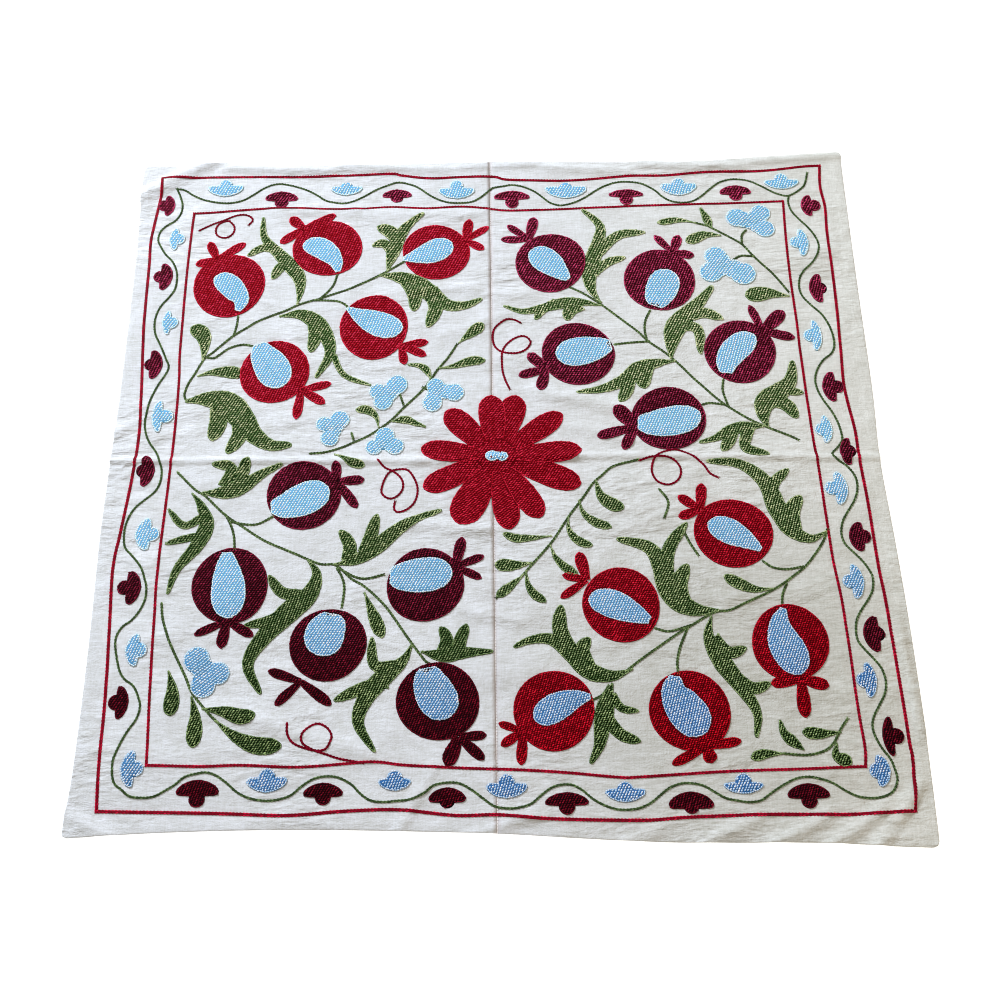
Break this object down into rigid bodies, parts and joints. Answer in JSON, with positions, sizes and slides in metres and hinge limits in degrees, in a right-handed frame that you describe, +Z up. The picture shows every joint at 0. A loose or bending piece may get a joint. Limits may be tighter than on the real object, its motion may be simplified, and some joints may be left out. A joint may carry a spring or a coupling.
{
  "type": "suzani embroidered textile",
  "caption": "Square white cotton wall or table cloth of two seamed loom widths, embroidered with pomegranates, leaves and a wavy flower border, lying flat with soft fold creases",
  "frame": {"origin": "middle of the cloth's outline on the surface it lies on", "axes": "+X along the weft to the right loom width, +Y along the seam to the far edge, +Z up out of the embroidered face"},
  "size_m": [1.005, 0.9672, 0.0077],
  "materials": {
    "cotton_left": "matt plain weave",
    "cotton_right": "matt plain weave"
  },
  "bodies": {
    "root": {"panel_left": "cotton_left", "panel_right": "cotton_right"}
  },
  "joints": []
}
